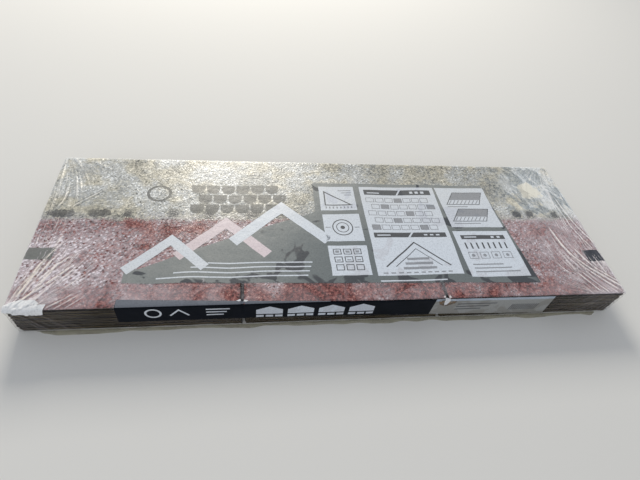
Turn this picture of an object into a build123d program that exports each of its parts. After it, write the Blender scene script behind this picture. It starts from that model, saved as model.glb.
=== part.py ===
from build123d import *
from math import cos, pi, sin
import os

# A shrink-wrapped bundle of three-tab asphalt shingles, lying flat with its
# granules up and its tab edge towards -Y. Millimetres, +Z up. The origin is
# the centre of the bundle's footprint, on the surface that it lies on.

# One shingle: a bitumen-coated glass mat with a granule face
shingle_length = 1000.0
shingle_width = 333.0
shingle_thickness = 2.8

# The slots cut it into tabs along the front edge
tab_count = 3
slot_width = 6.0
slot_depth = 145.0
slot_rounding = 0.95

# The stack: the sheets lie on each other, each a little out of line
shingle_count = 21
sheet_gap = 0.1
stray_along = 1.2
stray_across = 0.9
stray_turn = pi * (3 - 5**0.5)

# The shrink film, closed round the stack
film_thickness = 0.12
film_clearance = 0.15

# The weld lips, where two layers of film are sealed together
lip_layers = 2
front_lip_reach = 8.0
front_lip_end_margin = 25.0
end_lip_height = 14.0
end_lip_side_margin = 22.0

# Worked out from the sizes above
sheet_pitch = shingle_thickness + sheet_gap
stack_height = shingle_count * sheet_pitch - sheet_gap
stack_bottom = film_thickness + film_clearance
hollow_length = shingle_length + 2 * (stray_along + film_clearance)
hollow_width = shingle_width + 2 * (stray_across + film_clearance)
hollow_height = stack_height + 2 * film_clearance
wrap_length = hollow_length + 2 * film_thickness
wrap_width = hollow_width + 2 * film_thickness
wrap_height = hollow_height + 2 * film_thickness
lip_thickness = lip_layers * film_thickness
tab_width = shingle_length / tab_count


def sheet_centre(index):
    """Where a sheet of the stack lies: it strays to every side in turn."""
    angle = index * stray_turn
    along = stray_along * cos(angle)
    across = stray_across * sin(angle)
    return along, across, stack_bottom + index * sheet_pitch


def slot_places(along, across):
    """The points on a sheet's front edge that its slots open through."""
    front_edge = across - shingle_width / 2
    return [(along + (number - tab_count / 2) * tab_width, front_edge) for number in range(1, tab_count)]


# One slot's outline, with its other half out past the front edge
with BuildSketch() as slot:
    Rectangle(slot_width, 2 * slot_depth)
    fillet(slot.vertices(), slot_rounding * slot_width / 2)

# The shingles, each a solid of its own
with BuildPart() as shingles:
    for index in range(shingle_count):
        along, across, height = sheet_centre(index)
        with BuildSketch(Plane.XY.offset(height)):
            with Locations((along, across)):
                Rectangle(shingle_length, shingle_width)
            with Locations(*slot_places(along, across)):
                add(slot.sketch, mode=Mode.SUBTRACT)
        extrude(amount=shingle_thickness)

# The film, a closed box hollow to its own thickness, with its weld lips
with BuildPart() as film_wrap:
    with BuildSketch():
        Rectangle(wrap_length, wrap_width)
    extrude(amount=wrap_height)
    # the seam along the foot of the front, lying out on the floor
    with BuildSketch():
        with Locations((0, -(wrap_width + front_lip_reach) / 2)):
            Rectangle(wrap_length - 2 * front_lip_end_margin, front_lip_reach)
    extrude(amount=lip_thickness)
    # the seam across each end, folded flat against it at half height
    with BuildSketch(Plane.XY.offset((wrap_height - end_lip_height) / 2)):
        Rectangle(wrap_length + 2 * lip_thickness, wrap_width - 2 * end_lip_side_margin)
    extrude(amount=end_lip_height)
    with BuildSketch(Plane.XY.offset(film_thickness)):
        Rectangle(hollow_length, hollow_width)
    extrude(amount=hollow_height, mode=Mode.SUBTRACT)

shingles.part.label = "shingles"
film_wrap.part.label = "film_wrap"

os.makedirs("parts", exist_ok=True)
export_step(shingles.part, "parts/shingles.step")
export_step(film_wrap.part, "parts/film_wrap.step")
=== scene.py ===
from functools import partialmethod
from math import copysign, cos, hypot, pi, radians, sin, sqrt

import bmesh
import bpy
import numpy as np
from mathutils import Matrix, Vector


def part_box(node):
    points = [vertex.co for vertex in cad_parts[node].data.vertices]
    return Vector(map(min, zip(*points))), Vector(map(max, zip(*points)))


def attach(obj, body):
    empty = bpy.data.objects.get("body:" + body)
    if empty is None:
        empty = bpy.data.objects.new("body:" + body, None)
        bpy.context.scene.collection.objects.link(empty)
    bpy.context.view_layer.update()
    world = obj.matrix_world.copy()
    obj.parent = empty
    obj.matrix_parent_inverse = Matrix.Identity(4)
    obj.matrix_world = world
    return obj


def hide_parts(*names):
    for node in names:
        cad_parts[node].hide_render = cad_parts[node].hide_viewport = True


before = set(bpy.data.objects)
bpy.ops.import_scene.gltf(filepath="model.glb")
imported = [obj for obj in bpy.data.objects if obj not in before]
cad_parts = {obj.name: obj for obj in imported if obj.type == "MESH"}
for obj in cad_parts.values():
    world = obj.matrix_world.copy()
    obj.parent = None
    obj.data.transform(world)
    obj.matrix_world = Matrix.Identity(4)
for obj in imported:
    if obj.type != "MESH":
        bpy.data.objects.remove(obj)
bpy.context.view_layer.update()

# Shapes are worked out in millimetres, and made in metres
MM = 0.001

# The bundle's box and the stack inside it, from the frame
wrap_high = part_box("film_wrap")[1] / MM
stack_low, stack_high = (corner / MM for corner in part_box("shingles"))
film_gap = wrap_high.z - stack_high.z
half_length = stack_high.x + film_gap
half_width = wrap_high.y
width = 2 * half_width
height = wrap_high.z

# The radius of the film's edges, along the bundle and at its ends
edge_radius = 2.6
end_radius = 3.0

# One shingle, as the solids have it
sheet_length = 1000.0
sheet_width = 333.0
sheet_thickness = 2.8
sheet_count = 21
sheet_pitch = (stack_high.z - stack_low.z - sheet_thickness) / (sheet_count - 1)
stray_along = 1.2
stray_across = 0.9
stray_turn = pi * (3 - 5**0.5)
slot_places = (-sheet_length / 6, sheet_length / 6)
slot_width = 6.0
slot_depth = 145.0

# How far a sheet's corners are worn round
sheet_corner = 4.0

# The granules change from red to grey at this distance behind the middle
colour_line = 8.0


# Helpers for meshes

def placed(name, data):
    """A new object in the scene, from a mesh, a lamp or a camera."""
    thing = bpy.data.objects.new(name, data)
    bpy.context.scene.collection.objects.link(thing)
    return thing


def make_mesh(name, points, faces, material):
    """A mesh object from points in millimetres."""
    mesh = bpy.data.meshes.new(name)
    mesh.from_pydata([tuple(point) for point in np.asarray(points, float) * MM], [], faces)
    mesh.materials.append(material)
    return placed(name, mesh)


def make_piece(name, points, faces, material, slot, smooth=True):
    """A mesh piece on the one body. The slot is not used."""
    piece = make_mesh(name, points, faces, material)
    piece.data.polygons.foreach_set("use_smooth", [smooth] * len(piece.data.polygons))
    piece.data.update()
    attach(piece, "root")
    return piece


def quads(rows, columns, start=0, closed=False):
    """The cells of a grid of points, numbered row after row, which may be closed round."""
    sides = [(j, (j + 1) % columns) for j in range(columns if closed else columns - 1)]
    return [(row + j, row + columns + j, row + columns + k, row + k)
            for row in range(start, start + (rows - 1) * columns, columns) for j, k in sides]


def flipped(cells):
    """The same cells, facing the other way."""
    return [(a, d, c, b) for a, b, c, d in cells]


def triangles(cells):
    """Two triangles for each cell."""
    return [face for a, b, c, d in cells for face in ((a, b, c), (a, c, d))]


def spaced(edges, steps):
    """Rising places through all the edges, about a step apart between each two."""
    places = []
    for start, end, step in zip(edges, edges[1:], steps):
        count = max(1, round((end - start) / step))
        places += list(np.linspace(start, end, count, endpoint=False))
    return np.array(places + [edges[-1]])


def eased(value, low, high):
    """0 below low, 1 above high, and a smooth rise between them."""
    share = np.clip((value - low) / (high - low), 0, 1)
    return share * share * (3 - 2 * share)


def window(value, *edges):
    """A smooth rise between the first two edges, and a fall between the last two."""
    return eased(value, *edges[:2]) * (1 - eased(value, *edges[2:]))


# The lattice of random numbers behind patchy, and how far off its corner lies
lattice_size = 257
lattice_corner = 1000


def patchy(x, y, size, seed, sharp=False):
    """Noise from -1 to 1 in soft patches of about this size, or in sharp facets."""
    lattice = np.random.default_rng(seed).uniform(-1, 1, (lattice_size, lattice_size))
    x, y = (np.asarray(place, float) / size + lattice_corner for place in (x, y))
    column, row = np.floor(x).astype(int), np.floor(y).astype(int)
    here, up, right, far = (lattice[(column + i) % lattice_size, (row + j) % lattice_size]
                            for i in (0, 1) for j in (0, 1))
    across, along = x - column, y - row
    if sharp:
        lower = here + across * (right - here) + along * (far - right)
        upper = here + along * (up - here) + across * (far - up)
        return np.where(across >= along, lower, upper)
    across, along = eased(across, 0, 1), eased(along, 0, 1)
    return (here * (1 - along) + up * along) * (1 - across) + (right * (1 - along) + far * along) * across


# Bitumen dabs that seal one course to the next: the middle and length of each
DABS = (
    (-472, 46), (-411, 38), (-364, 14), (-288, 20), (-228, 16), (-150, 24), (-88, 36), (-20, 34), (46, 36),
    (112, 34), (182, 36), (246, 34), (308, 34), (370, 20), (398, 17), (452, 12),
)
dab_line = colour_line + 14.0
dab_half_width = 10.0

# How far past a dab the film sticks, along and across
stuck_along = 3.0
stuck_across = 2.5


def haze_cleared(u, v):
    """Where the film sticks to the dabs, from 0 to 1."""
    held = np.zeros_like(u)
    across = np.abs(v - half_width - dab_line) / (dab_half_width + stuck_across)
    for middle, length in DABS:
        along = np.abs(u - middle) / (length / 2 + stuck_along)
        held = np.maximum(held, np.exp(-(along**4) - across**4))
    return held


# The film's shape. u runs along the bundle and v round it, from 0 at the
# front's upper edge over the top, and below 0 down the front.

# Each side of its section: its first v, length and corner, and the ways that it runs and faces
SIDES = (
    (-height, height, (-half_width, 0.0), (0, 1), (-1, 0)),
    (0.0, width, (-half_width, height), (1, 0), (0, 1)),
    (width, height, (half_width, height), (0, -1), (1, 0)),
    (width + height, width, (half_width, 0.0), (-1, 0), (0, -1)),
)


def section_point(v):
    """The point (y, z) at v on the film's section, and the way it faces."""
    for start, length, corner, along, out in SIDES:
        if v <= start + length:
            break
    corner, along, out = (np.array(pair, float) for pair in (corner, along, out))
    reach = v - start
    middle = np.clip(reach, edge_radius, length - edge_radius)
    turn = radians(45) * (reach - middle) / edge_radius
    normal = cos(turn) * out + sin(turn) * along
    return corner + middle * along - edge_radius * out + edge_radius * normal, normal


# How far apart the film's lines are: round it on each side, and along it
SIDE_STEPS = (2.6, 2.1, 4.0, 20.0)
plain_step = 4.8
slot_step = 1.1
wrinkle_step = 1.4

# How far each side of a slot, and how far in from an end, the lines are closer
slot_reach = 9.0
wrinkle_reach = 120.0


def around():
    """The v of each line along the film, closer round its edges."""
    edges, steps = [], []
    for (start, length, *_), step in zip(SIDES, SIDE_STEPS):
        edges += [start + edge_radius, start + length - edge_radius]
        steps += [step, edge_radius / 2]
    return spaced(edges + [edges[-1] + 2 * edge_radius], steps)[:-1]


def along_half():
    """The u of each line round the film, from its middle to its right end."""
    slot, end = slot_places[1], half_length
    edges = (0.0, slot - slot_reach, slot + slot_reach, end - wrinkle_reach, end - end_radius)
    return spaced(edges, (plain_step, slot_step, plain_step, wrinkle_step))


# The wrinkles at the right and the left end: how soon their lines straighten,
# and how far the second family of lines spreads
LANE_BENDS = (46.0, 84.0)
LANE_SPREADS = (56.0, 88.0)

# How far apart the lines of the two families are, how long a wrinkle is and how high
lane_spacings = (5.0, 5.5)
wrinkle_length = 62.0
wrinkle_height = 1.7


def lanes(u, v):
    """Two families of lines from a corner back along the end, by how far in they run."""
    away = half_length - np.abs(u)
    near = np.minimum(np.abs(v), np.abs(width - v))
    bend = np.where(u > 0, *LANE_BENDS)
    first = away / (1 - np.exp(-(near + 11) / bend))
    second = away + np.where(u > 0, *LANE_SPREADS) * np.exp(-near / (1.4 * bend))
    return np.where(away < 0, 0.42 * v, first), second


def drawn(u, v):
    """How strongly the film is drawn into wrinkles, from 0 to 1."""
    away = half_length - np.abs(u)
    front = (1 - eased(away, 66, 140)) * (1 - eased(v, 70, 180))
    back = (1 - eased(away, 50, 120)) * (1 - eased(width - v, 50, 130))
    side = 1 - eased(away, 28, 78)
    return np.maximum(front, np.maximum(0.7 * back, 0.75 * side))


def ridges(u, v):
    """How high the wrinkles stand at each place."""
    first, second = lanes(u, v)
    along = v / wrinkle_length
    other_end = 40.0 * (u > 0)
    one = patchy(first / lane_spacings[0] + other_end, along, 1, 51)
    two = patchy(second / lane_spacings[1] + other_end, along * 0.8, 1, 52)
    one = np.clip((one - 0.1) / 0.8, 0, 1) ** 1.2
    two = np.clip((two - 0.14) / 0.8, 0, 1) ** 1.2
    calm = 0.4 + 0.6 * eased(half_length - np.abs(u), 0, 8)
    return wrinkle_height * calm * drawn(u, v) * np.maximum(one, 0.8 * two)


def from_line(u, v, line):
    """How far it is from each place to a bent line, and at which share of the line."""
    nearest, reach = np.full(u.shape, np.inf), np.zeros_like(u)
    for number, ((u0, v0), (u1, v1)) in enumerate(zip(line, line[1:])):
        run = (u1 - u0) ** 2 + (v1 - v0) ** 2
        share = np.clip(((u - u0) * (u1 - u0) + (v - v0) * (v1 - v0)) / run, 0, 1)
        aside = np.hypot(u - u0 - share * (u1 - u0), v - v0 - share * (v1 - v0))
        reach = np.where(aside < nearest, (number + share) / (len(line) - 1), reach)
        nearest = np.minimum(nearest, aside)
    return nearest, reach


# Single creases that cross the film: their places in u and v, then height and width
CREASES = (
    (((-232, -2), (-226, 62)), 0.5, 1.6), (((-120, 2), (-96, 30)), 0.35, 1.4),
    (((64, 0), (92, 24)), 0.3, 1.4), (((250, 2), (262, 38)), 0.35, 1.5),
    (((-330, 180), (-215, 262)), 0.3, 2.4), (((-60, 300), (60, 318)), 0.3, 2.2),
    (((190, 290), (330, 312)), 0.35, 2.4), (((-420, 250), (-300, 205)), 0.35, 2.4),
)


def creases(u, v):
    """How high the single creases stand."""
    raised = np.zeros_like(u)
    for line, tall, wide in CREASES:
        aside, reach = from_line(u, v, line)
        raised += tall * window(reach, 0, 0.25, 0.75, 1) * np.exp(-(aside / wide) ** 2)
    return raised


# Strong folds at the ends, given alike
FOLDS = (
    (((475, 262), (479, 188), (486, 152), (500, 112)), 1.5, 1.6),
    (((468, 226), (471, 188), (473, 152), (480, 125), (492, 92)), 1.2, 1.4),
    (((422, 166), (426, 123), (433, 90), (451, 62), (472, 41), (501, 12)), 2.2, 1.9),
    (((448, 105), (456, 82), (468, 55), (501, 22)), 1.6, 1.5),
    (((430, 88), (444, 62), (466, 34), (492, 6)), 1.7, 1.6),
    (((419, 67), (428, 46), (437, 30), (452, 6)), 1.5, 1.4),
    (((436, 50), (450, 27), (468, 3)), 1.4, 1.4),
    (((429, 25), (440, 7)), 0.9, 1.2),
    (((-450, 128), (-465, 98), (-475, 66), (-488, 24)), 2.4, 1.8),
    (((-455, 118), (-470, 92), (-481, 60), (-494, 22)), 1.7, 1.5),
    (((-446, 112), (-459, 88), (-470, 60), (-482, 22)), 1.3, 1.2),
    (((-424, 80), (-448, 52), (-482, 16)), 1.7, 1.6),
    (((-430, 100), (-452, 76), (-474, 44)), 1.2, 1.5),
    (((-412, 27), (-428, 14), (-446, 2)), 1.2, 1.2),
    (((-404, 25), (-419, 12), (-434, 1)), 1.1, 1.1),
    (((-396, 22), (-410, 9), (-420, 1)), 0.9, 1.1),
    (((-477, 267), (-473, 223), (-480, 203)), 1.2, 1.5),
    (((-412, 248), (-444, 218), (-458, 203)), 1.1, 1.4),
)


def rounded(places):
    """A bent line with its corners cut, and cut again."""
    line = np.array(places, float)
    for _ in range(2):
        near, far = line[:-1], line[1:]
        cut = np.stack([0.75 * near + 0.25 * far, 0.25 * near + 0.75 * far], 1).reshape(-1, 2)
        line = np.vstack([line[:1], cut, line[-1:]])
    return line


def folds(u, v):
    """How high the strong folds stand, and where a painted shadow line runs beside them."""
    raised, shadow_beside = np.zeros_like(u), np.zeros_like(u)
    for places, tall, wide in FOLDS:
        aside, reach = from_line(u, v, rounded(places))
        fade = eased(reach, 0, 0.3) * (1 - 0.6 * eased(reach, 0.85, 1)) * (1 + 0.35 * patchy(u, v, 9.0, 55))
        raised = np.maximum(raised, tall * fade * np.exp(-(aside / wide) ** 2))
        shadow_beside = np.maximum(shadow_beside, fade * np.exp(-((aside - 2.3 * wide) / (0.9 * wide)) ** 2))
    return raised, np.clip(shadow_beside, 0, 1)


def slot_dips(u, v):
    """How deep the film is drawn into the slots."""
    sunk = np.zeros_like(u)
    for place in slot_places:
        across = np.exp(-((u - place) / 2.3) ** 2)
        on_edge = 3.8 * np.exp(-((v + 0.4) / 5.0) ** 2)
        on_top = 0.7 * window(v, -2, 6, 26, 52)
        on_front = 0.8 * window(-v, -2, 6, 8, 26)
        sunk += across * (on_edge + on_top + on_front)
    return sunk


def slot_glints(u, v):
    """Where painted glints whiten the film over the slots, and most beside the dips in its edge."""
    glints = np.zeros_like(u)
    for place in slot_places:
        glints += 0.55 * np.exp(-((u - place) / 2.6) ** 4) * window(v, 4, 12, 40, 70)
        for side in (-1, 1):
            glints += 2.6 * np.exp(-((u - place - side * 4.4) / 1.9) ** 2 - ((v - 2.5) / 2.6) ** 2)
    return glints


def outward(u, v):
    """How far the film stands out from its plain box, and how high its wrinkles are."""
    on_top = window(v, 0, 7, width - 7, width)
    on_front = window(-v, 0, 6, height - 6, height)
    on_back = window(v, width, width + 6, width + height - 6, width + height)
    slack = 0.34 + 0.2 * patchy(u, v, 58, 1) + 0.09 * patchy(u, v, 17, 2)
    side_slack = 0.2 + 0.22 * patchy(u, v, 34, 4) + 0.08 * patchy(u, v, 11, 6)
    raised = ridges(u, v)
    gathered = (np.maximum(raised, folds(u, v)[0]) + creases(u, v)) * (on_top + on_front + on_back)
    return slack * on_top + side_slack * (on_front + on_back) + gathered - slot_dips(u, v), raised


# How far the end seam stops short of the front and the back
seam_margin = 22.0

# How far the folded film bellies out at the ends, and how high its pleats stand
end_belly = 1.6
pleat_height = 1.7

# How many steps the film takes round its end's edge, and from there to the seam
bend_steps = 4
cap_steps = 13


def film_rows():
    """The lines round the film from end to end: u, x, inset, axial turn and cap share."""
    half = [(u, u, 0.0, 0.0, 0.0) for u in along_half()]
    straight_end = half_length - end_radius
    for turn in np.linspace(0, pi / 2, bend_steps + 1)[1:]:
        half.append((straight_end + end_radius * turn, straight_end + end_radius * sin(turn),
                     end_radius * (1 - cos(turn)), turn, 0.0))
    last_u = half[-1][0]
    for share in np.linspace(0, 1, cap_steps + 1)[1:]:
        half.append((last_u + share * height / 2, half_length, end_radius, pi / 2, share))
    left = [(-u, -x, inset, -turn, share) for u, x, inset, turn, share in reversed(half[1:])]
    return np.array(left + half)


def end_folds(y, z, share, seed):
    """How far the folded end stands out, pleated towards its seam."""
    fan = y * (1 + 0.5 * share) + 0.12 * np.abs(z - height / 2)
    pleats = 1 - np.abs(patchy(fan, np.zeros_like(y), 8.5, seed))
    pleats = eased(pleats, 0.7, 1.0) + 0.2 * patchy(y, z, 5.0, seed + 1)
    return (end_belly * share + pleat_height * pleats) * np.sin(pi * np.clip(share, 0, 1)) ** 0.7


def film_grid():
    """The film's points and outward normals, a row for each line round it."""
    rows, places = film_rows(), around()
    points, normals = (np.array(part) for part in zip(*(section_point(v) for v in places)))
    u, v = np.meshgrid(rows[:, 0], places, indexing="ij")
    moved, raised = outward(u, v)
    grid, facing = np.zeros(u.shape + (3,)), np.zeros(u.shape + (3,))
    for index, (_, x, inset, turn, share) in enumerate(rows):
        flat = points - normals * inset
        flat_y = flat[:, 0] * (1 - share * seam_margin / half_width)
        flat_z = height / 2 + (flat[:, 1] - height / 2) * (1 - share)
        out = moved[index] * (1 - min(1.0, share * 4))
        facing[index] = np.column_stack([np.full(len(places), sin(turn)), normals * cos(turn)])
        grid[index] = np.column_stack([np.full(len(places), x), flat_y, flat_z])
        grid[index] += facing[index] * out[:, None]
        if share:
            stands = end_folds(flat_y, flat_z, share, 41 if x > 0 else 43)
            grid[index, :, 0] += copysign(1, x) * stands
            raised[index] = 0.85 * stands
    return rows[:, 0], places, grid, facing, raised


film_u, film_v, film_points, film_normals, film_raised = film_grid()


# Helpers for materials

class Value:
    """What a node puts out, to be added, subtracted and multiplied like a number."""

    def __init__(self, surface, socket):
        self.surface, self.socket = surface, socket

    def maths(self, operation, *others, clamp=False):
        """The result of a maths node that takes this value first."""
        inputs = dict(enumerate((self, *others)))
        return self.surface.add("Math", inputs, 0, operation=operation, use_clamp=clamp)

    __add__ = partialmethod(maths, "ADD")
    __sub__ = partialmethod(maths, "SUBTRACT")
    __mul__ = partialmethod(maths, "MULTIPLY")

    def __rsub__(self, other):
        return self * -1.0 + other

    def ranged(self, low, high, out_low=0.0, out_high=1.0):
        """The value carried smoothly from one range to another."""
        inputs = {"Value": self, "From Min": low, "From Max": high, "To Min": out_low, "To Max": out_high}
        return self.surface.add("MapRange", inputs, "Result", interpolation_type="SMOOTHSTEP")


class Surface:
    """A node material in the making. Its place and axes are in metres of the shared frame."""

    def __init__(self, name):
        self.material = bpy.data.materials.new(name)
        self.material.use_nodes = True
        self.tree = self.material.node_tree
        self.tree.nodes.clear()
        self.place = self.add("TexCoord", {}, "Object")
        axes = self.add("SeparateXYZ", {"Vector": self.place})
        self.axes = [Value(self, axes.outputs[axis]) for axis in "XYZ"]

    def add(self, kind, inputs, output=None, **settings):
        """A node with inputs given by name or number, or one of its outputs."""
        node = self.tree.nodes.new("ShaderNode" + kind)
        for name, value in settings.items():
            setattr(node, name, value)
        for name, value in inputs.items():
            socket = node.inputs[name]
            if isinstance(value, Value):
                self.tree.links.new(value.socket, socket)
            else:
                socket.default_value = (*value, 1) if socket.type == "RGBA" else value
        return node if output is None else Value(self, node.outputs[output])

    def attribute(self, name):
        """A number kept with the mesh."""
        return self.add("Attribute", {}, "Fac", attribute_name=name)

    def stretched(self, scale):
        """The place scaled by another amount along each axis."""
        return self.add("Mapping", {"Vector": self.place, "Scale": scale}, "Vector")

    def turned(self, degrees, stretch):
        """The place for a pattern that is drawn out, in a direction this far from X."""
        inputs = {"Vector": self.place, "Rotation": (0, 0, radians(degrees)), "Scale": (stretch, 1, 1)}
        return self.add("Mapping", inputs, "Vector", vector_type="TEXTURE")

    def noise(self, size, detail=3.0, roughness=0.55, distortion=0.0, place=None):
        """Noise from 0 to 1 with patches of this size in metres."""
        return self.add("TexNoise", {"Vector": place or self.place, "Scale": 1 / size, "Detail": detail,
                                     "Roughness": roughness, "Distortion": distortion}, "Fac")

    def cells(self, size, place=None):
        """Cells of this size in metres: a chance number for each, and how far its middle is."""
        node = self.add("TexVoronoi", {"Vector": place or self.place, "Scale": 1 / size})
        chance = self.add("SeparateColor", {"Color": Value(self, node.outputs["Color"])}, "Red")
        return chance, Value(self, node.outputs["Distance"])

    def between(self, share, one, other):
        """A colour between two colours."""
        return self.add("Mix", {0: share, 6: one, 7: other}, 2, data_type="RGBA")

    def ramp(self, value, stops):
        """A colour from a list of (place, colour)."""
        node = self.add("ValToRGB", {"Fac": value})
        band = node.color_ramp
        while len(band.elements) < len(stops):
            band.elements.new(0.5)
        for element, (place, colour) in zip(band.elements, stops):
            element.position, element.color = place, (*colour, 1)
        return Value(self, node.outputs["Color"])

    def bump(self, relief, strength, distance, invert=False):
        """The normal of a surface with this relief."""
        inputs = {"Height": relief, "Strength": strength, "Distance": distance}
        return self.add("Bump", inputs, "Normal", invert=invert)

    def solid(self, colour, roughness, normal=None, gloss=0.5):
        """A shader for a surface that light doesn't pass."""
        inputs = {"Base Color": colour, "Roughness": roughness, "Specular IOR Level": gloss}
        if normal:
            inputs["Normal"] = normal
        return self.add("BsdfPrincipled", inputs, "BSDF")

    def clear(self, colour):
        """A shader that light passes, tinted."""
        return self.add("BsdfTransparent", {"Color": colour}, "BSDF")

    def mixed(self, share, one, other):
        """A shader between two shaders."""
        return self.add("MixShader", {0: share, 1: one, 2: other}, "Shader")

    def mirrored(self, shader, normal, roughness, least):
        """A shader with a thin film's mirror: alike from both sides, and most at a low angle."""
        facing = self.add("LayerWeight", {"Normal": normal}, "Facing")
        inputs = {"Color": (1, 1, 1), "Roughness": roughness, "Normal": normal}
        gloss = self.add("BsdfGlossy", inputs, "BSDF")
        return self.mixed(facing.maths("POWER", 5.0) * 0.6 + least, shader, gloss)

    def finish(self, shader):
        """The material, once its shader is made."""
        self.add("OutputMaterial", {"Surface": shader})
        return self.material


# Materials. Each ramp of tones is a list of (place, colour).

RED_GRANULES = (
    (0.0, (0.02, 0.010, 0.011)), (0.2, (0.085, 0.024, 0.025)), (0.45, (0.21, 0.064, 0.062)),
    (0.65, (0.31, 0.115, 0.105)), (0.85, (0.47, 0.235, 0.215)), (1.0, (0.70, 0.50, 0.46)),
)
GREY_GRANULES = (
    (0.0, (0.018, 0.02, 0.02)), (0.2, (0.09, 0.095, 0.09)), (0.45, (0.27, 0.27, 0.245)),
    (0.7, (0.48, 0.465, 0.40)), (0.88, (0.68, 0.64, 0.52)), (1.0, (0.85, 0.81, 0.68)),
)
# the cut edges' own dark brown, darkened further as painted shade
EDGE_TONES_WITH_SHADE = (
    (0.0, (0.004, 0.0025, 0.0015)), (0.35, (0.014, 0.009, 0.004)), (0.6, (0.040, 0.027, 0.012)),
    (0.8, (0.105, 0.078, 0.038)), (1.0, (0.24, 0.19, 0.10)),
)
BITUMEN_TONES = (
    (0.0, (0.012, 0.013, 0.015)), (0.55, (0.03, 0.032, 0.036)), (0.66, (0.16, 0.16, 0.15)),
    (1.0, (0.5, 0.48, 0.44)),
)

# In metres: one granule, one speck of the film, and one crimp of its seams
granule_size = 0.0019
speck_size = 0.0034
crimp_size = 0.0022


def granule_material():
    """Mineral granules on bitumen: red on the tabs, grey behind them."""
    new = Surface("granules")
    pick, distance = new.cells(granule_size)
    clumps = new.noise(0.0048, 2.0).ranged(0.3, 0.7)
    tone = pick * 0.42 + clumps * 0.5 + (new.noise(0.045) - 0.5) * 0.5
    wander = (new.noise(0.03) - 0.5) * 0.02 + (pick - 0.5) * 0.007
    line = colour_line * MM
    side = (new.axes[1] + wander).ranged(line - 0.003, line + 0.003)
    colour = new.between(side, new.ramp(tone, RED_GRANULES), new.ramp(tone, GREY_GRANULES))
    normal = new.bump(distance + clumps * 0.8, 0.55, 0.0007, invert=True)
    return new.finish(new.solid(colour, 0.86, normal, 0.3))


def edge_material():
    """The cut edges of the sheets: bitumen, mat and a line of granules, in tones darkened as painted shade.
    """
    new = Surface("shingle_edges")
    layers = new.noise(1.0, 3.0, 0.6, place=new.stretched((14, 14, 700)))
    grit = new.noise(0.0016, 2.0)
    stain = new.noise(0.07, place=new.stretched((1, 1, 3)))
    # each sheet has its own tone, and is darkest where two sheets meet
    level = new.axes[2].maths("DIVIDE", sheet_pitch * MM) - stack_low.z / sheet_pitch
    sheet_tone = new.add("TexWhiteNoise", {"W": level.maths("FLOOR")}, "Value", noise_dimensions="1D")
    gap = (level.maths("FRACT") - 0.48).maths("ABSOLUTE")
    tone = layers * 0.75 + grit * 0.35 + (stain - 0.62) * 0.5 + (sheet_tone - 0.5) * 0.3
    colour = new.ramp(tone + gap.ranged(0.12, 0.42, 0.2, -0.4), EDGE_TONES_WITH_SHADE)
    return new.finish(new.solid(colour, 0.8, new.bump(grit + layers, 0.6, 0.0008), 0.3))


def dab_material():
    """Glossy black bitumen, dusted with stray granules."""
    new = Surface("sealing_bitumen")
    grit = new.noise(0.0025)
    return new.finish(new.solid(new.ramp(grit, BITUMEN_TONES), 0.42, new.bump(grit, 0.6, 0.0006)))


# The whites of the film: over the red and the grey granules, where it is slick, creamy or blotched,
# and along its folds, partly stress whitening and partly painted highlight
FRONT_WHITE = (0.89, 0.83, 0.91)
BACK_WHITE = (0.83, 0.87, 0.90)
SLICK_WHITE = (0.66, 0.76, 0.86)
CREAMY_WHITE = (0.88, 0.84, 0.71)
BLOTCH_WHITE = (0.89, 0.87, 0.78)
RIGHT_FOLD_HIGHLIGHT_WHITE = (0.98, 0.92, 0.88)
LEFT_FOLD_HIGHLIGHT_WHITE = (0.98, 0.90, 0.80)

# The middle of the blotch behind the right end
BLOTCH_MIDDLE = (0.425, 0.088, 0.061)


def film_specks_and_glints(new):
    """Fine white and dark specks where the film stands on single granules; the bright dots are painted
    glints and the soft white is milky film.
    """
    slanted = new.turned(40, 1.5)
    soft = new.noise(0.0038, 4.0, 0.75, place=slanted).ranged(0.47, 0.64)
    chance, distance = new.cells(speck_size, slanted)
    dot = distance.ranged(0.55, 0.3)
    glint_dots, dark = dot * chance.ranged(0.66, 0.72), dot * chance.ranged(0.30, 0.24)
    return glint_dots * 1.1 + soft * 0.75 - dark * 0.7


def film_streaks(new, right):
    """Streaks along the wrinkles and the folds: partly milky stress whitening, partly painted highlights."""
    x, y, z = new.axes
    threads = {0: new.attribute("lane") * 0.8, 1: (y + z) * 26.0, 2: x * 4.0}
    threads = new.noise(1.0, 2.0, 0.5, place=new.add("CombineXYZ", threads, "Vector")).ranged(0.55, 0.68)
    threads = threads * new.attribute("drawn") * (right * 0.25 + 0.6)
    # noise that breaks up the whitening and painted highlights along the folds
    worn = new.noise(0.005, 3.0, 0.6).ranged(0.34, 0.6, 0.35, 1.0)
    folded = new.attribute("folded").ranged(0.2, 1.6, 0.0, 0.8)
    return new.attribute("raised").ranged(0.55, 1.5) * 0.6 + threads + folded * worn


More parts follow.
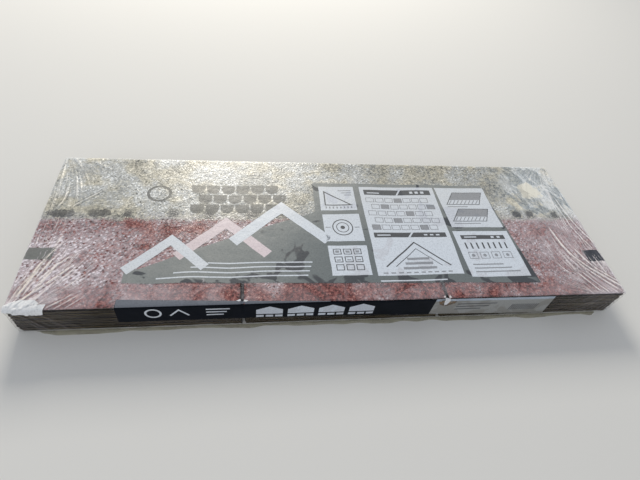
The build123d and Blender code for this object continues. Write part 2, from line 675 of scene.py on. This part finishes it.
def film_material():
    """Clear shrink film: open where it clings, milky where it is hazed or creased, with painted glints,
    highlights and shadow lines.
    """
    new = Surface("clear_film")
    x, y, z = new.axes
    left, right = x.ranged(-0.36, -0.45), x.ranged(0.31, 0.42)
    back, strip = y.ranged(-0.005, 0.03), y.ranged(-0.112, -0.14)
    front_left, behind = left * y.ranged(-0.022, -0.055), right * back
    clouds = new.noise(0.075, 4.0, 0.6, 0.5)
    clings = new.noise(0.048, 4.0, 0.7, 0.9).ranged(0.5, 0.68)
    # behind the right end, streaky drifts and one creamy blotch
    drifts = new.noise(0.022, 4.0, 0.6, 0.6, new.turned(117, 2.4)).ranged(0.42, 0.56)
    slick = behind * (1 - drifts)
    away = new.add("VectorMath", {0: new.place, 1: BLOTCH_MIDDLE}, "Value", operation="DISTANCE")
    blotch = (new.noise(0.022) * 0.05 + away).ranged(0.052, 0.042)
    # the veil that lies over everything, by region and in clouds
    corner = x.ranged(0.40, 0.46) * strip
    mid_left = x.ranged(-0.14, -0.22) * x.ranged(-0.38, -0.33)
    rim = y.ranged(0.115, 0.155) * x.ranged(-0.12, 0.0)
    veil = front_left * 0.24 + back * 0.13 + left * back * 0.09 - rim * 0.11 + 0.18
    veil += right * (y.ranged(-0.13, -0.05) * 0.14 + 0.06) + corner * 0.26
    veil += strip * (mid_left * 0.18 - 0.08) + behind * (drifts * 0.40 - 0.18)
    veil += (clouds - 0.48) * 0.8 - clings * 0.15
    veil = veil.maths("ADD", blotch * 0.34, clamp=True)
    # specks where it stands on granules, some of them painted glints, streaks where it is drawn up, partly
    # painted highlights, and nothing where it sticks or where painted shadow lines run beside the folds
    amount = front_left * 0.46 + back * 0.08 + 0.34
    amount *= 1 - (slick * 0.7 + right * 0.25)
    amount *= (clouds - strip * 0.2 - clings * 0.08).ranged(0.26, 0.54)
    streaks = film_streaks(new, right)
    haze = (film_specks_and_glints(new) * amount + veil + streaks) * (1 - new.attribute("haze_cleared") * 0.8)
    # all of it on the top, and little but the streaks at the ends, the front and the back
    end = x.maths("ABSOLUTE").ranged(0.4985, 0.501)
    haze *= z.ranged(0.0600, 0.0613, 0.05, 1.0).maths("MAXIMUM", end * 0.25)
    haze += streaks * (end * 0.45).maths("MAXIMUM", z.ranged(0.0605, 0.058, 0.0, 0.25))
    # whites
    creamy = new.noise(0.05, 4.0, 0.6).ranged(0.44, 0.62) * back - slick
    white = new.between(back, FRONT_WHITE, BACK_WHITE)
    for share, colour in ((slick, SLICK_WHITE), (creamy, CREAMY_WHITE), (blotch, BLOTCH_WHITE)):
        white = new.between(share, white, colour)
    white = new.between(streaks, white, new.between(left, RIGHT_FOLD_HIGHLIGHT_WHITE, LEFT_FOLD_HIGHLIGHT_WHITE))
    normal = new.bump(new.noise(0.0036, 2.0) * 0.8 + new.noise(0.012), 0.5, 0.0012)
    milk = new.solid(white, 0.4, normal)
    body = new.mixed(haze.maths("MINIMUM", 0.92), new.clear((0.985, 0.985, 0.98)), milk)
    # it mirrors most on the top, and less on its sides, which darkens them as painted shade
    return new.finish(new.mirrored(body, normal, 0.24, z.ranged(0.0590, 0.0612, 0.010, 0.03)))


def seam_material():
    """Two layers of film sealed together: milky, with the milk and the see-through share darkened and tinted
    olive as painted shade.
    """
    new = Surface("sealed_film_shaded")
    patches = new.noise(0.012, 3.0, 0.5, place=new.stretched((0.35, 1, 1)))
    crimps = ((new.axes[0] + new.axes[1]) * (2 * pi / crimp_size)).maths("SINE")
    normal = new.bump(crimps * 0.12 + patches, 0.5, 0.0012)
    share = patches.ranged(0.32, 0.7, 0.22, 0.55)
    body = new.mixed(share, new.clear((0.79, 0.77, 0.68)), new.solid((0.37, 0.355, 0.285), 0.3, normal))
    return new.finish(new.mirrored(body, normal, 0.2, 0.02))


def ink(name, colour, dark, glare_haze_colour=None, see_through=0.0, gloss=0.5):
    """Ink on the film: darker where it clings, and paler to the left and the back, partly haze and partly
    painted glare.
    """
    new = Surface(name)
    x, y, _ = new.axes
    patches = new.noise(0.05, 2.5, 0.5, 1.0) + x.ranged(-0.17, -0.25, 0.0, -0.12)
    patches = (patches + y.ranged(-0.085, -0.125, 0.0, 0.12)).ranged(0.59, 0.635)
    # paler to the left and the back: partly haze, partly painted glare
    paler = y.ranged(-0.08, 0.10).maths("MAXIMUM", x.ranged(0.02, -0.30, 0.0, 0.85))
    glare_haze_share = paler * new.noise(0.022, 3.0, 0.6).ranged(0.2, 0.75, 0.55, 1.0)
    tone = new.between(patches, new.between(glare_haze_share, colour, glare_haze_colour or colour), dark)
    grain = new.noise(0.0028).ranged(0.42, 0.72) * 0.3
    tone = new.between(grain, tone, new.between(0.65, tone, (0, 0, 0)))
    normal = new.bump(new.noise(0.004, 2.0) * 0.3 + new.noise(0.015), 0.3, 0.001)
    shader = new.solid(tone, 0.3, normal, gloss)
    if see_through:
        worn = new.noise(0.006, 4.0, 0.7).ranged(0.40, 0.72, see_through * 0.3, see_through)
        shader = new.mixed(worn, shader, new.clear((1, 1, 1)))
    return new.finish(shader)


# Each ink: its colour, then its colour where it clings and where it is paler to the left and the back
# (partly haze, partly painted glare), how much it lets through and how glossy it is
DARK_INKS = {
    "dark": ((0.160, 0.185, 0.195), (0.062, 0.070, 0.082), (0.30, 0.315, 0.31)),
    "line": ((0.09, 0.095, 0.105), (0.085, 0.09, 0.10), (0.13, 0.135, 0.14)),
    "soft": ((0.31, 0.33, 0.37), (0.29, 0.31, 0.35), (0.34, 0.35, 0.37)),
    "mark": ((0.13, 0.14, 0.145), (0.06, 0.065, 0.07), (0.19, 0.19, 0.18), 0.7),
    "left_mark": ((0.20, 0.215, 0.21), (0.13, 0.14, 0.14), (0.22, 0.23, 0.22), 0.3),
    "end": ((0.048, 0.054, 0.07), (0.04, 0.045, 0.06), (0.055, 0.06, 0.075)),
    # the black band, darkened further as painted shade
    "band": ((0.003, 0.005, 0.010), (0.002, 0.004, 0.008), None, 0.0, 0.05),
    # the black band where it laps onto the top, paler as a painted reflection of the sky
    "fold": ((0.155, 0.172, 0.21), (0.14, 0.155, 0.19)),
    "stain": ((0.26, 0.15, 0.06), (0.16, 0.09, 0.04), None, 0.9),
}
PALE_INKS = {
    "white": ((0.68, 0.745, 0.84), (0.62, 0.66, 0.74), (0.69, 0.725, 0.77)),
    "pink": ((0.70, 0.62, 0.68), (0.64, 0.55, 0.61), (0.72, 0.62, 0.64)),
    "ear": ((0.87, 0.885, 0.91), (0.80, 0.81, 0.85)),
    # a white label, printed grey as painted shade
    "label": ((0.34, 0.345, 0.34), (0.27, 0.265, 0.25)),
    # the label's upper edge, paler and bluish as a painted reflection of the sky
    "label_edge_reflection": ((0.46, 0.53, 0.62), (0.40, 0.46, 0.55)),
}

GRANULES = granule_material()
EDGES = edge_material()
BITUMEN = dab_material()
CLEAR_FILM = film_material()
SEALED_FILM_SHADED = seam_material()
INKS = {name: ink(f"{name}_ink", *look) for name, look in (DARK_INKS | PALE_INKS).items()}


# The shingles

def worn_corner(x, y):
    """The points round one worn corner of a sheet, in the outline's order."""
    inset = sheet_corner * (1 - sqrt(0.5))
    side_x, side_y = copysign(1, x), copysign(1, y)
    along = (x - side_x * sheet_corner, y)
    middle = (x - side_x * inset, y - side_y * inset)
    across = (x, y - side_y * sheet_corner)
    return [along, middle, across] if x * y < 0 else [across, middle, along]


# How far apart the points of a sheet's edge and of its top are
outline_step = 6.0
top_sheet_step = 4.0


def sheet_outline():
    """One sheet's edge with its slots, as evenly spaced points."""
    x, y, side = sheet_length / 2, sheet_width / 2, slot_width / 2
    corners = worn_corner(-x, -y)
    for place in slot_places:
        corners += [(place - side, -y), (place - side, slot_depth - side - y)]
        corners += [(place, slot_depth - y), (place + side, slot_depth - side - y), (place + side, -y)]
    corners += worn_corner(x, -y) + worn_corner(x, y) + worn_corner(-x, y)
    points = []
    for (x0, y0), (x1, y1) in zip(corners, corners[1:] + corners[:1]):
        count = max(1, round(hypot(x1 - x0, y1 - y0) / outline_step))
        points += [(x0 + (x1 - x0) * k / count, y0 + (y1 - y0) * k / count) for k in range(count)]
    return np.array(points)


def sheet_shift(index):
    """How far a sheet of the stack strays along and across."""
    angle = index * stray_turn
    return np.array([stray_along * cos(angle), stray_across * sin(angle)])


# Each sheet's edge, from the foot up: share of its thickness and inset
EDGE_PROFILE = ((0.0, 0.55), (0.12, 0.1), (0.5, 0.0), (0.86, 0.08), (1.0, 0.5))


def stack_sheets():
    """The sheets under the top one, with their cut edges a little uneven."""
    points, faces = [], []
    outline = sheet_outline()
    count = len(outline)
    along = np.roll(outline, -1, 0) - np.roll(outline, 1, 0)
    out = np.column_stack([along[:, 1], -along[:, 0]])
    out /= np.maximum(np.linalg.norm(out, axis=1), 1e-6)[:, None]
    for index in range(sheet_count - 1):
        ragged = 0.45 * patchy(outline[:, 0], outline[:, 1], 23, 100 + index)
        ragged += 0.25 * patchy(outline[:, 0], outline[:, 1], 7, 200 + index)
        foot = stack_low.z + index * sheet_pitch
        start = len(points)
        for share, inset in EDGE_PROFILE:
            ring = outline + out * (ragged - 0.5 - inset)[:, None] + sheet_shift(index)
            points += [(x, y, foot + share * sheet_thickness) for x, y in ring]
        last = start + (len(EDGE_PROFILE) - 1) * count
        faces += flipped(quads(len(EDGE_PROFILE), count, start, closed=True))
        faces += [tuple(range(start + count - 1, start - 1, -1)), tuple(range(last, last + count))]
    return points, faces


def top_sheet():
    """The sheet that shows, gridded, with its slots cut out and its edges worn down."""
    side, step = slot_width / 2, top_sheet_step
    half_x, half_y = sheet_length / 2 - 0.6, sheet_width / 2 - 0.6
    slots = [edge for place in slot_places for edge in (place - side, place + side)]
    slot_end = slot_depth - half_y
    xs = spaced((-half_x, *slots, half_x), (step, side, step, side, step))
    ys = spaced((-half_y, slot_end, half_y), (step, step))
    x, y = np.meshgrid(xs, ys, indexing="ij")
    shift = sheet_shift(sheet_count - 1)
    top = stack_low.z + (sheet_count - 1) * sheet_pitch + sheet_thickness
    rim = np.minimum(half_x - np.abs(x), half_y - np.abs(y))
    level = top - 0.12 + 0.08 * patchy(x, y, 40, 301) - 0.5 * (1 - eased(rim, 0, 3.0))
    ragged = 0.3 * patchy(x * 1.3, y * 1.3, 9, 302) * (1 - eased(rim, 0, 2.0))
    over_x = np.maximum(np.abs(x) - half_x + sheet_corner, 0)
    over_y = np.maximum(np.abs(y) - half_y + sheet_corner, 0)
    kept = np.minimum(1, sheet_corner / np.maximum(np.hypot(over_x, over_y), sheet_corner))
    x, y = x - np.sign(x) * over_x * (1 - kept), y - np.sign(y) * over_y * (1 - kept)
    points = np.stack([x + shift[0] + ragged, y + shift[1] + ragged, level], -1).reshape(-1, 3)
    middles = (xs[:-1] + xs[1:]) / 2
    in_slot = np.any([np.abs(middles - place) < side for place in slot_places], axis=0)
    faces = []
    for face in quads(len(xs), len(ys)):
        column, row = divmod(face[0], len(ys))
        if not (in_slot[column] and ys[row] < slot_end - 0.1):
            faces.append(face)
    return points, faces


def build_shingles():
    """The stack and its top sheet, in place of the plain sheets."""
    stack = make_piece("shingle_stack", *stack_sheets(), EDGES, "asphalt_shingle", smooth=False)
    top = make_piece("top_shingle", *top_sheet(), GRANULES, "asphalt_shingle")
    top.data.materials.append(EDGES)
    solid = top.modifiers.new("thickness", "SOLIDIFY")
    solid.thickness, solid.offset = (sheet_thickness - 0.3) * MM, -1
    solid.material_offset_rim = 1
    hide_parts("shingles")
    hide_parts("shingles")


def build_dabs():
    """Low rounded dabs in a row behind the red granules, sunk a little into the top sheet."""
    points, faces = [], []
    top = stack_high.z - 0.1
    across, along = 9, 24
    for number, (middle, length) in enumerate(DABS):
        faces += quads(along + 1, across + 1, len(points))
        place = dab_line + 1.5 * sin(number * 2.4)
        for i in range(along + 1):
            reach = 2 * i / along - 1
            ragged = 0.85 + 0.3 * patchy(3.0 * i, 30.0 * number, 4.0, 401)
            half = dab_half_width * sqrt(max(0.0, 1 - reach**4)) * ragged
            for aside in np.linspace(-1, 1, across + 1):
                lift = 0.3 * (1 - aside**2) * (1 - reach**4) - 0.05
                points.append((middle + reach * length / 2, place + aside * half, top + lift))
    make_piece("sealing_dabs", points, faces, BITUMEN, "asphalt_shingle")


# The film and its seams

def build_film():
    """The closed film, with how far it is wrinkled kept for its material."""
    faces = triangles(quads(len(film_u), len(film_v), closed=True))
    film = make_piece("shrink_film", film_points.reshape(-1, 3), faces, CLEAR_FILM, "shrink_film")
    u, v = np.meshgrid(film_u, film_v, indexing="ij")
    folded, shadow_beside = folds(u, v)
    kept = {"raised": film_raised, "lane": lanes(u, v)[0], "drawn": drawn(u, v),
            # the share that clears the haze also marks painted shadow lines beside the folds, and folded
            # also carries painted glints over the slots
            "haze_cleared": np.maximum(haze_cleared(u, v), 0.75 * shadow_beside), "folded": folded + slot_glints(u, v)}
    for name, values in kept.items():
        layer = film.data.attributes.new(name, "FLOAT", "POINT")
        layer.data.foreach_set("value", values.ravel().astype(np.float32))
    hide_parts("film_wrap")


# How far the front seam lies out at the foot, and how far it stops short of each end
front_lip_reach = 8.0
front_lip_margin = 25.0

# How tall the seam folded against each end is
end_lip_height = 14.0

# The seams' points: how far apart along the seam, and at which shares of its width
seam_step = 4.0
LIP_SHARES = np.linspace(0, 1, 6)


def ribbon(name, rows):
    """A seam of film, from rows of points across it."""
    faces = flipped(quads(len(rows), len(LIP_SHARES)))
    make_piece(name, np.concatenate(rows), faces, SEALED_FILM_SHADED, "shrink_film")


def build_front_seam():
    """The seam along the foot of the front, lying out and a little wavy."""
    rows = []
    end = half_length - front_lip_margin
    for x in np.arange(-end, end + 1, seam_step):
        reach = front_lip_reach * (0.78 + 0.3 * patchy(x, 0.0, 26, 61)) - 5.0 * eased(abs(x), end - 12, end)
        wave = (1.1 + 0.9 * patchy(x, 9.0, 19, 62)) * np.sin(pi * (0.25 + 0.75 * LIP_SHARES)) + 0.15
        y = -half_width - LIP_SHARES * reach - 0.05
        rows.append(np.column_stack([np.full_like(y, x), y, np.maximum(0.12, wave)]))
    ribbon("film_seam_front", rows)


def build_end_seam(side, name):
    """The seam across an end, folded up flat against the pleats."""
    rows = []
    reach_y = half_width - seam_margin
    for y in np.arange(-reach_y, reach_y + 1, seam_step):
        tall = end_lip_height * (0.9 + 0.16 * patchy(y, side, 21, 63))
        tall *= 0.4 + 0.6 * eased(reach_y - abs(y), 0, 16)
        out = half_length + end_belly + 0.5 + 0.9 * LIP_SHARES + 0.7 * patchy(y, 40 * LIP_SHARES, 12, 64)
        up = height / 2 - 0.5 + LIP_SHARES * tall
        rows.append(np.column_stack([side * out, np.full_like(out, y), up]))
    ribbon(name, rows)


# What lies on the film. Each shape is a convex outline in u and v.

def film_patch(outline):
    """The film's own triangles inside a convex outline, flat in u and v."""
    outline = np.array(outline, float)
    us, vs = (line[max(0, np.searchsorted(line, low) - 1):np.searchsorted(line, high) + 1]
              for line, low, high in zip((film_u, film_v), outline.min(0), outline.max(0)))
    mesh = bpy.data.meshes.new("patch")
    mesh.from_pydata([(u, v, 0.0) for u in us for v in vs], [], triangles(quads(len(us), len(vs))))
    shape = bmesh.new()
    shape.from_mesh(mesh)
    bpy.data.meshes.remove(mesh)
    middle = outline.mean(0)
    for start, end in zip(outline, np.roll(outline, -1, 0)):
        way = end - start
        away = np.array([way[1], -way[0]])
        if away @ (middle - start) > 0:
            away = -away
        bmesh.ops.bisect_plane(shape, geom=shape.verts[:] + shape.edges[:] + shape.faces[:], dist=1e-5,
                               plane_co=(*start, 0), plane_no=(*away, 0), clear_outer=True)
    shape.verts.index_update()
    spots = np.array([vertex.co[:2] for vertex in shape.verts])
    found = [tuple(vertex.index for vertex in face.verts) for face in shape.faces]
    shape.free()
    return spots, found


def warped(spots):
    """Places in u and v, moved a little as the film has stretched."""
    u, v = spots[:, 0], spots[:, 1]
    free = eased(v, 6, 34)
    u_move = 1.7 * patchy(u, v, 62, 81) + 0.35 * patchy(u, v, 17, 82)
    v_move = 1.7 * patchy(u, v, 62, 83) + 0.35 * patchy(u, v, 17, 84)
    return spots + np.column_stack([free * u_move, free * v_move])


def film_cell(line, places):
    """Between which of the film's lines each place is, and at which share of the way."""
    cell = np.clip(np.searchsorted(line, places, side="right") - 1, 0, len(line) - 2)
    return cell, ((places - line[cell]) / (line[cell + 1] - line[cell]))[:, None]


def on_film(spots, lift):
    """Points at places in u and v, lifted off the film by a little."""
    (i, s), (j, t) = film_cell(film_u, spots[:, 0]), film_cell(film_v, spots[:, 1])
    lifted = film_points + film_normals * lift
    near, far = lifted[i, j], lifted[i + 1, j + 1]
    lower = near + s * (lifted[i + 1, j] - near) + t * (far - lifted[i + 1, j])
    upper = near + t * (lifted[i, j + 1] - near) + s * (far - lifted[i, j + 1])
    return np.where(s >= t, lower, upper)


def laid_piece(name, outlines, laid, ink_name, smooth=True):
    """All the outlines as one piece. laid turns an outline's number and its places into points."""
    points, faces, count = [], [], 0
    for number, outline in enumerate(outlines):
        spots, found = film_patch(outline)
        points.append(laid(number, spots))
        faces += [tuple(count + index for index in face) for face in found]
        count += len(spots)
    slot = "film_print_pale" if ink_name in PALE_INKS else "film_print_dark"
    make_piece(name, np.concatenate(points), faces, INKS[ink_name], slot, smooth)


def crumpled(u, v, seed):
    """How far a crumpled flap stands off the film, in sharp facets."""
    large = patchy(u + 0.6 * v, v - 0.4 * u, 8.5, seed, sharp=True)
    return 2.5 * np.abs(large) + 0.6 * patchy(u, v, 3.6, seed + 9, sharp=True)


# The white ear at the left of the front edge: its two lobes, and how far they lie over the film
EAR_LOBES = (
    [(-503, 8), (-484, 17), (-462, 16.5), (-455, 11), (-459, 2), (-480, -4), (-503, -3)],
    [(-488, 4), (-462, 6.5), (-443, 13), (-448, -6), (-460, -9), (-488, -5)],
)
EAR_LIFTS = (0.5, 1.7)


def ear_lobe(number, spots):
    """A lobe of the ear, crumpled upwards on the top and forwards on the front."""
    points = on_film(spots, EAR_LIFTS[number])
    u, v = spots.T
    crumple = crumpled(u, v, 71 + number)
    points[:, 2] += crumple * eased(v, -8, 2)
    points[:, 1] -= crumple * eased(-v, -2, 4)
    return points


# The prints, and how far each layer of them lies over the film

PRINT_LIFTS = {"ground": 0.06, "behind": 0.10, "panel": 0.14, "motif": 0.19, "over": 0.24}


def print_piece(name, outlines, layer, ink_name):
    """One colour of print: all its shapes as one piece on the film."""
    laid_piece(name, outlines, lambda _, spots: on_film(warped(spots), PRINT_LIFTS[layer]), ink_name)


def block(u0, v0, u1, v1, lean=0.0):
    """A rectangle, with its upper side moved along by lean."""
    return [(u0, v0), (u1, v0), (u1 + lean, v1), (u0 + lean, v1)]


def strip(one, other):
    """What lies between two bent lines, one outline for each run."""
    return [[one[k], one[k + 1], other[k + 1], other[k]] for k in range(len(one) - 1)]


def path(places, thick):
    """A bent stroke with mitred corners."""
    places = np.array(places, float)
    runs = np.diff(places, axis=0)
    runs /= np.linalg.norm(runs, axis=1)[:, None]
    sides = np.column_stack([-runs[:, 1], runs[:, 0]])
    closed = np.allclose(places[0], places[-1])
    first, last = (sides[-1], sides[0]) if closed else (sides[0], sides[-1])
    corners = np.vstack([[first], sides]) + np.vstack([sides, [last]])
    corners *= thick / (corners**2).sum(axis=1)[:, None]
    return strip(places - corners, places + corners)


def frame_of(u0, v0, u1, v1, thick):
    """The four bars of a rectangle's outline."""
    return path([(u0, v0), (u1, v0), (u1, v1), (u0, v1), (u0, v0)], thick)


def disc(u, v, radius, corners=24):
    """A filled circle."""
    turns = np.linspace(0, 2 * pi, corners, endpoint=False)
    return [(u + radius * cos(turn), v + radius * sin(turn)) for turn in turns]


def ring(u, v, radius, thick):
    """A circle's outline."""
    corners = disc(u, v, radius)
    return path(corners + corners[:1], thick)


def scale_shape(u, v, wide, tall):
    """One rounded roof scale, hanging from its upper edge."""
    foot = v - tall + wide / 2
    return [(u + wide / 2, v), (u - wide / 2, v)] + [
        (u + wide / 2 * cos(turn), foot + wide / 2 * sin(turn))
        for turn in np.linspace(pi, 2 * pi, 9)]


# The grey ground on the top, and the white panels on it
GROUND = [
    [(-350, 44), (-36, 36.5), (-36, 196), (-350, 62)],
    [(-36, 36.5), (346, 27.5), (318, 270), (-36, 272)],
]
PANELS = [
    block(-24, 198, 46, 262), block(-23, 124, 47, 188), block(-22, 50, 48, 114),
    block(58, 48, 212, 262), block(222, 156, 326, 262, -6), block(224, 42, 334, 146, -5),
]

# The near, the middle and the far gable: where the ridge lies, the foot's v, the rise and the stroke
GABLES = ((-286, 66, 62, 17), (-196, 92, 74, 19), (-98, 122, 82, 21))


def gable(ridge, foot, rise, thick):
    """A plain roof outline, a little steeper at the right."""
    run = rise * 1.05
    return path([(ridge - run, foot), (ridge, foot + rise), (ridge + run * 0.92, foot + 4)], thick)


def draw_small_panels(lines, soft):
    """A slope with ticks under it, rings round a dot, and a grid."""
    lines += path([(-14, 212), (36, 212), (-14, 248), (-14, 212)], 2.4)
    soft += [block(-14 + 7 * k, 203, -11.5 + 7 * k, 208) for k in range(8)]
    soft += [block(14 + 6 * k, 250 - 6 * k, 40, 252 - 6 * k) for k in range(3)]
    lines += ring(12, 156, 18, 2.0) + ring(12, 156, 11, 1.4) + [disc(12, 156, 4)]
    soft += [block(-20, 155.2, -10, 156.8), block(34, 155.2, 43, 156.8)]
    for column in range(3):
        for row in range(3):
            left, low = -13 + 18 * column, 61 + 17 * row
            lines += frame_of(left, low, left + 13, low + 11, 1.5)
            if row:
                soft.append(block(left + 3, low + 3, left + 10, low + 3 + 2.5 * row))


def draw_tall_panel(lines, soft, over):
    """Two headers with marks, staggered courses of blocks, and a roof."""
    for low, tall in ((240, 14), (132, 11)):
        lines.append(block(66, low, 204, low + tall))
        over += [block(128, low, 132, low + tall, 9), block(72, low + 4, 96, low + 6.5)]
        over += [block(160 + 12 * k, low + 4, 167 + 12 * k, low + tall - 4) for k in range(3)]
    for row in range(5):
        for column in range(7):
            left, low = 67 + 18.5 * column + 9 * (row % 2), 150 + 17.5 * row
            soft += frame_of(left, low, left + 15, low + 11, 1.3)
            if (row + 2 * column) % 5 == 0:
                soft.append(block(left, low, left + 15, low + 11))
    lines += path([(76, 66), (135, 120), (194, 66)], 2.6) + path([(92, 66), (135, 105), (178, 66)], 1.3)
    soft += [block(104 + 5 * k, 60 + 10 * k, 166 - 5 * k, 65 + 10 * k) for k in range(3)]
    soft += [block(68 + 13 * k, 52, 76 + 13 * k, 54.5) for k in range(10)]


def draw_right_panels(lines, soft, over):
    """Slanted roof planes with hatched feet, and a row of ticks with boxes and rules."""
    for base, end in ((172, 284), (216, 272)):
        soft.append([(238, base + 12), (304, base + 12), (312, base + 32), (250, base + 32)])
        lines += path([(230, base), (298, base), (312, base + 32), (250, base + 32), (230, base)], 1.4)
        for left in range(234, 298, 8):
            soft.append(block(left, base + 1.5, left + 2, base + 11, 7))
        soft.append(block(230, base - 7, end, base - 5))
    lines.append(block(232, 126, 318, 136, -1))
    over += [block(238, 130, 262, 132.5), block(290, 129, 296, 133.5), block(302, 129, 308, 133.5)]
    lines += [block(234 + 11 * k, 104, 237 + 11 * k, 118) for k in range(8)]
    for left in range(234, 322, 22):
        soft += frame_of(left, 82, left + 16, 96, 1.3) + [disc(left + 8, 89, 3.4, 12)]
    soft += [block(234, 52 + 8 * k, 318 - 13 * k, 54.5 + 8 * k) for k in range(3)]


def build_top_print():
    """The print over the top of the bundle."""
    near, middle, far = (gable(*sizes) for sizes in GABLES)
    print_piece("print_ground", GROUND, "ground", "dark")
    print_piece("print_panels", PANELS, "panel", "white")
    print_piece("print_gables", near + far, "panel", "white")
    print_piece("print_gable_pink", middle, "behind", "pink")
    lines, soft, over = [], [], []
    draw_small_panels(lines, soft)
    draw_tall_panel(lines, soft, over)
    draw_right_panels(lines, soft, over)
    print_piece("print_lines", lines, "motif", "line")
    print_piece("print_soft", soft, "motif", "soft")
    print_piece("print_header_marks", over, "over", "white")
    # loose marks on the clear film, and pale rules on the ground
    marks = [scale_shape(-250 + 27 * column + 13.5 * (row % 2), 262 - 25 * row, 24, 23)
             for row in range(3) for column in range(6)]
    print_piece("print_marks", marks + ring(-318, 238, 19, 5), "ground", "mark")
    print_piece("print_left_mark", [block(-502, 90, -461, 113, 3)], "ground", "left_mark")
    print_piece("print_end_mark", [block(466, 70, 498, 96, -2)], "ground", "end")
    rules = [block(-300 + 26 * row, 50.5 + 9 * row, -62 + 3 * row, 53 + 9 * row) for row in range(4)]
    print_piece("print_rules", rules + [block(60, 36, 178, 38.5)], "motif", "white")


# The band along the front: its upper and lower edge, which follow the film
BAND_TOP = ((-351, 14.4), (-258, 10.3), (-130, 5), (0, 0.5), (148, -1.8))
BAND_FOOT = ((-354, -41), (-258, -40), (-130, -41), (0, -44), (148, -48))

# Where the band laps over onto the top, printed paler as a painted reflection of the sky: its edge there,
# and the foot of that
FOLD_TOP = (*BAND_TOP[:3], (-30, 1.6))
FOLD_FOOT = [(u, 0.5) for u, _ in FOLD_TOP]

# The label beside the band, and its paler upper edge, a painted reflection of the sky
LABEL_TOP = ((148, -1.8), (364, -2.6))
LABEL_FOOT = ((148, -48), (368, -57))
LABEL_EDGE_FOOT = ((148, -8), (364.5, -10))

# The pinched film over the slots, white as painted glints, and the brown stain round the right one
GLINT_PINCHES = [
    [(162, 1), (170, 2), (173, -7), (170, -17), (166, -20), (164, -12)],
    [(-176, 7.2), (-170, 9.6), (-169, 7.2), (-172, 5.6)],
    [(-164, 9.0), (-158, 7.4), (-160, 5.4), (-165, 6.0)],
]
STAINS = [[(152, -6), (162, -3), (186, -9), (184, -16), (170, -24), (158, -19)]]


def pinch(_, spots):
    """A pinch of film, crumpled forwards."""
    points = on_film(spots, PRINT_LIFTS["motif"])
    points[:, 1] -= 0.4 * np.abs(crumpled(*spots.T, 77))
    return points


def build_front_print():
    """The print along the front of the bundle."""
    print_piece("front_band", strip(BAND_TOP, BAND_FOOT), "ground", "band")
    print_piece("front_band_fold_reflection", strip(FOLD_TOP, FOLD_FOOT), "panel", "fold")
    print_piece("front_label", strip(LABEL_TOP, LABEL_FOOT), "ground", "label")
    print_piece("front_label_edge", strip(LABEL_TOP, LABEL_EDGE_FOOT), "behind", "label_edge_reflection")
    pale = ring(-300, -18, 11, 3.2) + path([(-276, -26), (-262, -10), (-248, -26)], 3.0)
    pale += [block(-222, -12 - 8 * k, -186 - 5 * k, -9 - 8 * k) for k in range(3)]
    for left in range(-146, 54, 50):
        pale.append([(left, -30), (left + 42, -30), (left + 42, -17), (left + 21, -8), (left, -17)])
        pale += [block(left + 15 * k, -39, left + 12 + 15 * k, -33) for k in range(3)]
    print_piece("front_motifs", pale, "panel", "white")
    bars = [block(292 + 4 * k, -43, 294.2 + 4 * k, -24, 2) for k in range(13)]
    bars += [block(190, -20 - 8 * k, 262 - 12 * k, -17 - 8 * k) for k in range(3)]
    print_piece("front_bars", bars, "panel", "line")
    print_piece("front_stain", STAINS, "behind", "stain")


build_shingles()
build_dabs()
build_film()
build_front_seam()
build_end_seam(-1, "film_seam_left")
build_end_seam(1, "film_seam_right")
build_top_print()
build_front_print()
# the white pinches over the slots are painted glints
laid_piece("front_glint_pinches", GLINT_PINCHES, pinch, "ear", smooth=False)
laid_piece("corner_fold_left", EAR_LOBES, ear_lobe, "ear", smooth=False)


# Floor, light and camera

# How far the floor reaches each way, and how far it lies under the bundle
floor_reach = 40000.0
floor_drop = 0.3


def build_floor():
    """A plain pale floor, a hair under the bundle."""
    new = Surface("floor")
    material = new.finish(new.solid((0.72, 0.72, 0.71), 0.9))
    corners = [(x, y, -floor_drop) for x in (-floor_reach, floor_reach) for y in (-floor_reach, floor_reach)]
    make_mesh("floor", corners, quads(2, 2), material)


def soft_box(name, place, aim, size, power, colour):
    """A square lamp that looks at a point."""
    light = bpy.data.lights.new(name, "AREA")
    light.shape, light.size, light.energy, light.color = "SQUARE", size, power, colour
    lamp = placed(name, light)
    lamp.location = place
    lamp.rotation_euler = (Vector(aim) - Vector(place)).to_track_quat("-Z", "Y").to_euler()


def build_light():
    """Soft light from behind and above, and a weaker one from the front."""
    world = bpy.data.worlds.new("studio")
    bpy.context.scene.world = world
    world.use_nodes = True
    sky = world.node_tree.nodes["Background"].inputs
    sky["Color"].default_value = (0.93, 0.96, 1.0, 1)
    sky["Strength"].default_value = 0.50
    soft_box("back_light", (-0.30, 2.85, 1.80), (0, 0.05, 0), size=1.15, power=80, colour=(1.0, 0.94, 0.83))
    soft_box("front_light", (-1.1, -2.2, 2.2), (0, 0, 0), size=1.6, power=10, colour=(0.95, 0.97, 1.0))


# The camera stands in front, looks down on the top and is rolled a little. Angles are in degrees.
camera_place = (-148.4, -513.0, 633.7)
camera_azimuth = -13.64
camera_elevation = 49.69
camera_roll = 10.10
camera_lens = 24.0
camera_clips = (0.01, 50.0)


def build_camera():
    """The camera at the photograph's viewing angle."""
    camera = placed("camera", bpy.data.cameras.new("camera"))
    camera.data.lens = camera_lens
    camera.data.clip_start, camera.data.clip_end = camera_clips
    stand = Matrix.Translation(Vector(camera_place) * MM)
    for angle, axis in ((camera_azimuth, "Z"), (90 - camera_elevation, "X"), (camera_roll, "Z")):
        stand @= Matrix.Rotation(radians(angle), 4, axis)
    camera.matrix_world = stand
    bpy.context.scene.camera = camera


build_floor()
build_light()
build_camera()
bpy.context.scene.view_settings.view_transform = "Standard"
